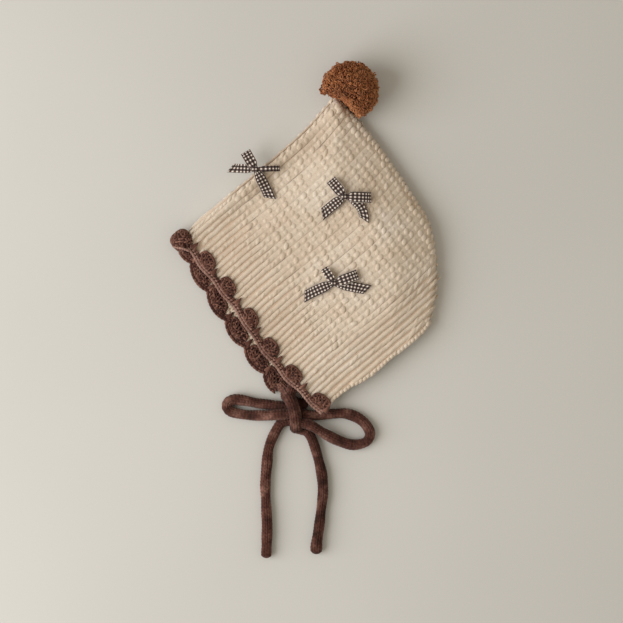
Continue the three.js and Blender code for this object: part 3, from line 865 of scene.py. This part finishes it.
def shell_grid(upper, inset, ribs=0.0):
    """One face of one layer of the knit as a grid from the fold to the neck edge.

    ribs is how far the ribs of its stitches hang out below it.
    """
    face, neck = (upper_face, upper_neck) if upper else (lower_face, lower_neck)
    radius = max(ROLL_RADIUS - inset, SMALLEST_ROLL)
    quarter = radius * math.pi / 2
    shares = np.linspace(0, 1, GRID_ROWS + 1), np.linspace(0, 1, GRID_COLUMNS + 1)
    r, c = np.meshgrid(*shares, indexing="ij")
    depth, up = 60 + 0 * r, 90 + 0 * r
    for _ in range(6):
        fold_arc = r * (crown_fold(depth) - neck(depth) - inset - radius + quarter)
        back_arc = c * (back_edge(up) - face(up) - inset - radius + quarter)
        points, depth, up = folded_point(fold_arc, back_arc, np.full(r.shape, upper), inset)
    if ribs:
        inner = np.minimum(smooth_rise(fold_arc, 4), smooth_rise(back_arc, 4))
        rib = np.abs(np.sin(math.pi * up / RIB)) ** 0.6
        stitch = np.abs(np.sin(math.pi * depth / COURSE + 1.1 * np.sin(2 * math.pi * up / RIB)))
        points[..., 2] -= ribs * inner * rib * (0.6 + 0.4 * stitch)
    return points


def rim(outer, inner):
    return sheet_grid(np.stack([outer, inner]))


def add_knit_ground():
    """The knit's own wall, open at the face and the neck, that the stitches stand on."""
    faces = {(upper, WALL): shell_grid(upper, WALL) for upper in (True, False)}
    faces[True, INSET] = shell_grid(True, INSET)
    underside = shell_grid(False, UNDERSIDE_INSET, UNDERSIDE_RIBS)
    underside[0], underside[:, 0] = faces[True, INSET][0], faces[True, INSET][:, 0]
    faces[False, INSET] = underside
    shapes = []
    for upper in (True, False):
        outer, inner = faces[upper, INSET], faces[upper, WALL]
        shapes += [sheet_grid(outer), sheet_grid(inner)]
        shapes += [rim(outer[-1], inner[-1]), rim(outer[:, -1], inner[:, -1])]
    # The ground is painted the darker cream, as the shade between the stitches and inside the knit.
    build("knit_ground", joined(shapes), cream_ground_painted_shade, ["bonnet_knit"], weld=True)


add_knit_ground()
add_knit_stitches()
add_neck_rims()


def add_inner_stitches():
    """Stitches on the inner face of the lower layer, where it shows in front of the upper one."""
    up, step = np.meshgrid(np.arange(30, 170, RIB), np.arange(0, 7), indexing="ij")
    up, step = up.ravel(), step.ravel()
    depth = lower_face(up) + 4 + step * COURSE
    keep = depth < upper_face(up) + 9
    up, depth = up[keep], depth[keep]
    inside = up >= lower_neck(depth) + 2
    depth, up = depth[inside], up[inside]
    along = world(1.0, 0.0, 0.0) - world(0.0, 0.0, 0.0)
    across = world(0.0, 1.0, 0.0) - world(0.0, 0.0, 0.0)
    shapes = []
    for leg in (-1, 1):
        turn = leg * math.radians(17) * (1 + random.normal(0, 0.15, len(up)))
        direction = np.cos(turn)[:, None] * along + np.sin(turn)[:, None] * across
        centre = world(depth, up + leg * RIB * 0.235, WALL + 0.5)
        size = (COURSE * 1.6, RIB * 0.56, 1.7)
        shapes.append(leaves(centre, direction, upright(len(up)), *size))
    build("knit_stitches_inside", joined(shapes), cream_wool)


add_inner_stitches()


# ---- crocheted trims ----
def shell_shape(up, middles, half_width):
    nearest = np.min(np.abs(np.asarray(up)[..., None] - np.array(middles)), axis=-1)
    inside = np.clip(nearest / half_width, 0, 1)
    return (1 - inside ** SHELL_ROUNDNESS) ** (1 / SHELL_ROUNDNESS)


def scallop_shape(up):
    """How far a scallop bulges, from 0 at its notches to 1 between them."""
    notches = np.array(sorted(LOWER_NOTCHES))
    after = np.clip(np.searchsorted(notches, up, side="right"), 1, len(notches) - 1)
    share = (up - notches[after - 1]) / (notches[after] - notches[after - 1])
    return 1 - np.abs(2 * np.clip(share, 0, 1) - 1) ** SCALLOP_ROUNDNESS


class Trim:
    """One layer's trim. Places on it are how far up it lies and how far across from its fold."""

    def __init__(self, upper, shells, picots, start, end, half_width, waist):
        self.upper, self.shells, self.picots = upper, shells, picots
        self.start, self.end = start, end
        self.half_width, self.waist = half_width, waist

    def front(self, up):
        if self.upper:
            wave = np.cos(2 * math.pi * (up - self.shells[0]) / SHELL_PITCH)
            return upper_face(up) - TRIM_OVERHANG - 0.7 * wave
        scallop = SCALLOP_SET_BACK - SCALLOP_BULGE * scallop_shape(up)
        return lower_face(up) - TRIM_OVERHANG + scallop

    def height(self, depth, up):
        """Of the face that the trim lies on."""
        if self.upper:
            return crown_height(np.maximum(depth, upper_face(up)), up)
        return WALL + 0 * depth

    def at(self, across, up, over):
        depth = self.front(up) + across
        return world(depth, up, self.height(depth, up) + over)


UPPER_TRIM = Trim(True, UPPER_SHELLS, UPPER_PICOTS, 0.5, 165.0, SHELL_HALF_WIDTH, 3.6)
LOWER_TRIM = Trim(False, [166.0, *LOWER_SHELLS], LOWER_PICOTS, 36.5, 168.0, 10.8, 4.2)
POSTS = 9


def trim_fold_shape(trim, across, over, pitch, size, turn):
    """A chain of V stitches that follows the trim's fold."""
    up = np.arange(trim.start, trim.end, pitch)
    out = upright(len(up))
    shapes = []
    for leg in (-1, 1):
        place = trim.at(across + leg * size[1] * 0.42, up, over)
        ahead = trim.at(across + leg * size[1] * 0.42, up + 0.5, over)
        lean = leg * math.radians(turn) * np.ones(len(up))
        shapes.append(leaves(place, slanted(unit(ahead - place), out, lean), out, *size))
    return joined(shapes)


def trim_ground_shape(trim):
    """The closed body under the trim's stitches."""
    up = np.linspace(trim.start, trim.end, 150)
    reach = lerp(trim.waist, SHELL_REACH - 0.8, shell_shape(up, trim.shells, trim.half_width - 0.6))
    columns = np.linspace(0, 1, 9)
    across = 0.4 + columns[None] * (reach[:, None] - 0.4)
    crown = np.sqrt(np.clip(1 - (2 * columns - 1) ** 2, 0, 1))[None]
    ups = np.repeat(up[:, None], len(columns), axis=1)
    top = trim.at(across, ups, 0.3 + 1.6 * crown)
    low = trim.at(across, ups, -0.6 - 1.4 * crown * (0.3 if trim.upper else 1))
    return closed_sheet(np.concatenate([top, low[:, ::-1], top[:, :1]], axis=1))


def shell_posts_shape(trim, middle):
    """One fan of tall stitches, each made of short slanted legs, under a chain along its head."""
    root = 2.8
    reach = SHELL_REACH - root
    t = np.linspace(0.06, 0.84, 5)
    places, directions = [], []
    for angle in np.linspace(-1.3, 1.3, POSTS):
        far_across = root + reach * math.cos(angle) ** 0.55 * 0.95
        far_up = middle + trim.half_width * 0.93 * math.sin(angle)
        near_up = middle + 2.8 * math.sin(angle)
        across = lerp(root - 0.4, far_across, t)
        ups = lerp(near_up, far_up, t)
        row = trim.at(across, ups, 1.15 + 0.9 * np.sin(math.pi * t))
        places.append(row)
        directions.append(unit(np.gradient(row, axis=0)))
    places, directions = np.concatenate(places), np.concatenate(directions)
    number = len(places)
    places = places + random.normal(0, 0.22, places.shape)
    normals = upright(number)
    turns = np.where(np.arange(number) % 2, 0.5, -0.5) + random.normal(0, 0.22, number)
    size = 1 + random.normal(0, 0.12, number)
    shape = leaves(places, slanted(directions, normals, turns), normals,
                   3.3 * size, 1.5 * size, 1.9 * size, sink=0.5)
    angle = np.linspace(-1.38, 1.38, 13)
    arc_across = root + reach * np.cos(angle) ** 0.55 * 0.93
    arc_up = middle + trim.half_width * 0.92 * np.sin(angle)
    place = trim.at(arc_across, arc_up, 1.5)
    outs = upright(len(place))
    head = slanted(unit(np.gradient(place, axis=0)), outs, np.full(len(place), 0.34))
    return shape + leaves(place, head, outs, 3.3, 1.8, 1.9)


def picot_shape(trim, up):
    """A small pointed loop of yarn that stands out between two shells."""
    t = np.linspace(0, 1, 7)
    paths = []
    for lean in (-1, 0, 1):
        across = 2.6 + t * (PICOT_LENGTH - 0.2)
        ups = up + lean * 1.25 * (1 - t) ** 1.1 + 0.5 * t
        over = 1.0 + 1.1 * np.sin(math.pi * t) ** 0.7 + 0.3 * (lean == 0)
        paths.append(trim.at(across, ups, over))
    taper = 0.95 * (1 - t) ** 0.6 + 0.22
    return tubes(np.array(paths), taper, taper, 7, (0, 0, 1.0))


def add_trim(trim, name, node):
    # The body under the stitches is painted dark brown, as the shade seen between them.
    build(name + "_core", trim_ground_shape(trim), brown_core_painted_shade)
    shapes = [trim_fold_shape(trim, 3.0, 1.25, 2.3, (3.4, 1.5, 1.8), 26)]
    shapes += [shell_posts_shape(trim, middle) for middle in trim.shells]
    shapes += [picot_shape(trim, up) for up in trim.picots]
    if trim.upper:
        shapes.append(tip_shape())
    build(name, joined(shapes), brown_wool, [node])
    over = 1.1 if trim.upper else -0.2
    fold = trim_fold_shape(trim, 1.0, over, 2.7, (4.6, 2.3, 2.2), 14)
    if trim.upper:
        fold = fold + tip_line_shape()
        # The dome's core is painted dark brown too, as the shade between its stitches.
        build("face_trim_tip_core", tip_core_shape(), brown_core_painted_shade)
    # The upper fold gets the lighter brown, a painted highlight on its ridge; the lower fold keeps
    # the plain brown.
    build(name + "_fold", fold, brown_fold_painted_highlight if trim.upper else brown_wool)


TIP = {"depth": -5.5, "up": 172.0, "z": 9.5, "radii": (8.4, 8.0, 8.0)}
TIP_LINE = [(-13.4, 172.4, 10.5), (-11.4, 169.4, 15.0), (-8.8, 166.0, 16.4), (-7.0, 162.6, 16.6)]


def tip_point(polar, turn, share=1.0):
    """A point of the blunt dome where both trims turn in at the crown fold."""
    def blunt(value):
        return np.sign(value) * np.abs(value) ** 0.72

    radii = TIP["radii"]
    depth = TIP["depth"] + share * radii[0] * np.sin(polar) ** 0.8 * blunt(np.cos(turn))
    up = TIP["up"] + share * radii[1] * np.sin(polar) ** 0.8 * blunt(np.sin(turn))
    return world(depth, up, TIP["z"] + share * radii[2] * np.cos(polar))


def tip_shape():
    """Short slanted legs of crochet all over the dome."""
    polar, turn = [], []
    for ring in np.linspace(0.12, 2.2, 9):
        count = max(4, int(2 * math.pi * 8 * math.sin(ring) / 1.9))
        polar += [ring] * count
        turn += list(np.arange(count) * 2 * math.pi / count + 0.4 * ring)
    polar = np.clip(np.array(polar) + random.normal(0, 0.03, len(polar)), 0.05, 2.6)
    turn = np.array(turn)
    place = tip_point(polar, turn)
    around = unit(tip_point(polar, turn + 0.02) - tip_point(polar, turn - 0.02))
    down = unit(tip_point(polar + 0.02, turn) - tip_point(polar - 0.02, turn))
    out = unit(np.cross(down, around))
    turns = np.where(np.arange(len(turn)) % 2, 0.9, -0.7) + random.normal(0, 0.25, len(turn))
    lean = slanted(down, out, turns)
    return leaves(place - out * 0.6, lean, out, 3.2, 1.5, 1.9, sink=0.5)


def tip_core_shape():
    return sheet_grid(tip_point(*ball_angles(16, 32), 0.93))


def tip_line_shape():
    """The lighter edge, a painted highlight, goes on across the dome."""
    place = world(*(np.array(TIP_LINE)[:, k] for k in range(3)))
    place, _ = smooth_route(place, 2.0)
    return leaves(place, unit(np.gradient(place, axis=0)), upright(len(place)), 3.8, 1.9, 2.0)


add_trim(UPPER_TRIM, "face_trim_upper_crochet", "face_trim_upper")
add_trim(LOWER_TRIM, "face_trim_lower_crochet", "face_trim_lower")


# ---- pompom ----
CURLS = 1900
CURL_ROOM = 1.3  # between the ball and the middle of a curl
# The knit's peak is sewn into this corner of the pompom. Its fold edge slopes, and its tip is cut.
CONTACT = {"depth": 161.6, "up": 177.6, "slope": 0.75, "blunt": 6.0}


def pompom_radius(directions):
    """How far the yarn reaches each way: up to a ball, and no further than the knit's peak."""
    centre = np.array(world(POMPOM["depth"], POMPOM["up"], 20.0))
    full = POMPOM["radius"] - CURL_ROOM
    reach = np.full(len(directions), full)
    for share in np.linspace(1, 0.2, 25):
        spot = centre + directions * full * share
        depth, up = on_knit(spot[:, 0], spot[:, 1])
        fold = CONTACT["up"] + CONTACT["slope"] * (CONTACT["depth"] - depth)
        inside = (depth < CONTACT["depth"]) & (up < fold)
        inside = inside & (CONTACT["depth"] - depth + fold - up > CONTACT["blunt"])
        reach = np.where(inside, np.minimum(reach, full * share - 0.4), reach)
    tall = np.abs(directions[:, 2])
    return reach * lerp(1.0, 0.94, tall), centre


def add_pompom():
    number = np.arange(CURLS) + 0.5
    polar = np.arccos(1 - 2 * number / CURLS)
    turn = math.pi * (1 + 5 ** 0.5) * number
    away = np.stack([np.cos(turn) * np.sin(polar), np.sin(turn) * np.sin(polar), np.cos(polar)], -1)
    away = unit(away + random.normal(0, 0.03, away.shape))
    reach, centre = pompom_radius(away)
    reach = reach + random.normal(-0.1, 0.8, CURLS)
    keep = reach > 5.0
    away, reach = away[keep], reach[keep]
    count = len(away)
    axis = unit(np.cross(away, unit(random.normal(0, 1, (count, 3)))))
    other = np.cross(away, axis)
    t = np.linspace(0, 1, 11)[None]
    turns = random.uniform(1.0, 1.7, (count, 1))
    radius = random.uniform(0.7, 1.45, (count, 1))
    start = random.uniform(0, 2 * math.pi, (count, 1))
    phase = start + t * turns * 2 * math.pi
    slide = (t - 0.5) * random.uniform(1.2, 3.4, (count, 1))
    paths = (
        centre + away[:, None] * (reach[:, None] + radius * np.cos(phase))[..., None]
        + other[:, None] * (radius * np.sin(phase))[..., None]
        + axis[:, None] * slide[..., None]
    )
    paths[..., 2] = np.maximum(paths[..., 2], 0.7)
    thick = random.uniform(0.38, 0.56, (count, 1)) * np.ones((1, t.shape[1]))
    shape = tubes(paths, thick, thick, 4, axis[:, None])
    build("pompom_curls", shape, rust_wool, ["pompom"])
    # The ball under the curls is painted the dark rust, as the shade between them.
    u, v = ball_angles(28, 48)
    ways = np.stack([np.sin(u) * np.cos(v), np.sin(u) * np.sin(v), np.cos(u) + 0 * v], -1)
    inner, _ = pompom_radius(ways.reshape(-1, 3))
    core = centre + ways * (inner.reshape(ways.shape[:2]) - 1.5)[..., None]
    build("pompom_core", sheet_grid(core), rust_core_painted_shade, weld=True)


add_pompom()


# ---- gingham bows ----
BOWS = {  # each strip: kind, turn in degrees, length, share of the width, bend in degrees
    "gingham_bow_crown": {
        "x": -37.1, "y": 52.5,
        "strips": [("loop", 120, 15.5, 1.0, 0), ("loop", 2, 19.0, 0.5, 0),
                   ("tail", 177, 19.5, 0.8, 0), ("tail", -63, 25.0, 1.0, 10)],
    },
    "gingham_bow_middle": {
        "x": 32.0, "y": 30.8,
        "strips": [("loop", 129, 17.0, 1.0, 0), ("loop", -2, 20.5, 1.0, 0),
                   ("tail", 218, 22.0, 1.0, -8), ("tail", -48, 25.5, 0.85, 84)],
    },
    "gingham_bow_side": {
        "x": 23.8, "y": -36.1,
        "strips": [("loop", 123, 14.0, 0.7, 0), ("loop", 20, 19.5, 1.0, 0),
                   ("tail", 204, 25.0, 1.0, -10), ("tail", -11, 26.5, 0.9, 0)],
    },
}


def knit_top(x, y):
    depth, up = on_knit(x, y)
    return crown_height(depth, np.minimum(up, crown_fold(depth) - 3))


def ribbon_face(turn, length, squeeze, kind, bend):
    """Centre line, half widths and places along a strip that leaves a bow's knot."""
    if kind == "tail":
        t = np.linspace(0, 1, 22)
        reach = t * length
        rise = 1.6 + 1.7 * np.sin(math.pi * np.clip(t * 1.15, 0, 1)) * (1 - t * 0.5)
        along = t * length
    else:
        t = np.linspace(0, 1, 41)
        turn_over = np.sin(math.pi * t)
        reach = length * (1 - np.abs(2 * t - 1) ** 1.5)
        rise = 3.2 + 2.1 * np.cos(math.pi * t) * turn_over ** 0.5
        along = t * 2 * length
    spread = 0.5 + 0.5 * smooth_rise(reach / length, 0.36)
    half = RIBBON_WIDTH / 2 * squeeze * spread
    angle = np.radians(turn + bend * (0.5 - t) * (kind == "tail"))
    ahead = np.stack([np.cos(angle), np.sin(angle)], -1)
    steps = np.diff(reach, prepend=0.0)[:, None]
    centre = np.cumsum(ahead * steps, axis=0)
    return centre, ahead, reach, rise, along, half


def strip_shape(x, y, kind, turn, length, squeeze, bend):
    """One strip of ribbon that leaves the knot at x and y, with its places on the cloth."""
    centre, ahead, reach, rise, along, half = ribbon_face(turn, length, squeeze, kind, bend)
    share = np.linspace(-1, 1, 9)
    slant = 2.6 * share[None] if kind == "tail" else 0 * share[None]
    further = slant * smooth_rise(reach / length - 0.6, 0.4)[:, None]
    aside = half[:, None] * share[None]
    px = x + centre[:, :1] + further * ahead[:, :1] - aside * ahead[:, 1:]
    py = y + centre[:, 1:] + further * ahead[:, 1:] + aside * ahead[:, :1]
    crease = 0.5 * np.cos(share * math.pi)[None] * (1 - smooth_rise(reach / length, 0.7))[:, None]
    curl = 0.45 * (share[None] ** 2) * np.sin(along[:, None] * 0.35)
    pz = knit_top(px, py) + rise[:, None] + crease + curl
    top = np.stack([px, py, pz], -1)
    low = top - np.array([0, 0, RIBBON_THICKNESS])
    ring = np.concatenate([top, low[:, ::-1], top[:, :1]], axis=1)
    v = np.concatenate([share, share[::-1], share[:1]])[None] * RIBBON_WIDTH / 2 * squeeze
    u = np.repeat(along[:, None], ring.shape[1], axis=1)
    uv = np.stack([u, np.broadcast_to(v, u.shape)], -1).reshape(-1, 2)
    return closed_sheet(ring), uv


def add_bow(name, bow):
    x, y = bow["x"], bow["y"]
    strips = [strip_shape(x, y, *strip) for strip in bow["strips"]]
    z = float(knit_top(np.array(x), np.array(y)))
    u, v = ball_angles(13, 24)
    ball = np.stack([
        x + 2.3 * np.sin(u) * np.cos(v), y + 2.7 * np.sin(u) * np.sin(v),
        z + 3.2 + 2.3 * np.cos(u) + 0 * v,
    ], -1)
    shapes, uvs = zip(*strips)
    shape = joined([*shapes, sheet_grid(ball)])
    uv = np.concatenate([*uvs, np.stack([ball[..., 0] - x, ball[..., 1] - y], -1).reshape(-1, 2)])
    piece = build(name + "_ribbon", shape, gingham, [name])
    layer = piece.data.uv_layers.new(name="UVMap")
    index = np.empty(len(piece.data.loops), int)
    piece.data.loops.foreach_get("vertex_index", index)
    layer.data.foreach_set("uv", uv[index].ravel())


for bow_name, bow in BOWS.items():
    add_bow(bow_name, bow)


# ---- table and light ----
TABLE_HALF = 5.0  # in metres, as is the window
WINDOW = {"place": (-1.12, -0.3, 0.8), "aim": (0, -0.03, 0), "size": 1.5, "power": 20}
ROOM_COLOUR = (1.0, 0.92, 0.77)
ROOM_STRENGTH = 0.43


def add_table():
    half = TABLE_HALF
    mesh = bpy.data.meshes.new("table_top")
    corners = [(-half, -half, 0), (half, -half, 0), (half, half, 0), (-half, half, 0)]
    mesh.from_pydata(corners, [], [(0, 1, 2, 3)])
    n = Nodes("table_paint")
    place = n.add("TexCoord").outputs["Object"]
    soft = n.add("TexNoise", {"Vector": place}, Scale=3.0, Detail=2.0).outputs["Fac"]
    n.link("Base Color", n.ramp(soft, [(0.3, srgb(210, 208, 204)), (0.7, srgb(215, 213, 209))]))
    n.shader.inputs["Roughness"].default_value = 0.8
    n.shader.inputs["Specular IOR Level"].default_value = 0.2
    mesh.materials.append(n.material)
    table = bpy.data.objects.new("table_top", mesh)
    bpy.context.collection.objects.link(table)


def add_window():
    """One large soft light from the left, the only one besides the room's own."""
    data = bpy.data.lights.new("window", "AREA")
    data.shape = "DISK"
    data.size = WINDOW["size"]
    data.energy = WINDOW["power"]
    light = bpy.data.objects.new("window", data)
    light.location = WINDOW["place"]
    towards = Vector(WINDOW["aim"]) - Vector(WINDOW["place"])
    light.rotation_euler = towards.to_track_quat("-Z", "Y").to_euler()
    bpy.context.collection.objects.link(light)


def add_world():
    world_data = bpy.data.worlds.new("soft_room")
    world_data.use_nodes = True
    background = world_data.node_tree.nodes["Background"]
    background.inputs["Color"].default_value = (*ROOM_COLOUR, 1)
    background.inputs["Strength"].default_value = ROOM_STRENGTH
    bpy.context.scene.world = world_data


add_table()
add_window()
add_world()
bpy.context.scene.view_settings.view_transform = "Standard"
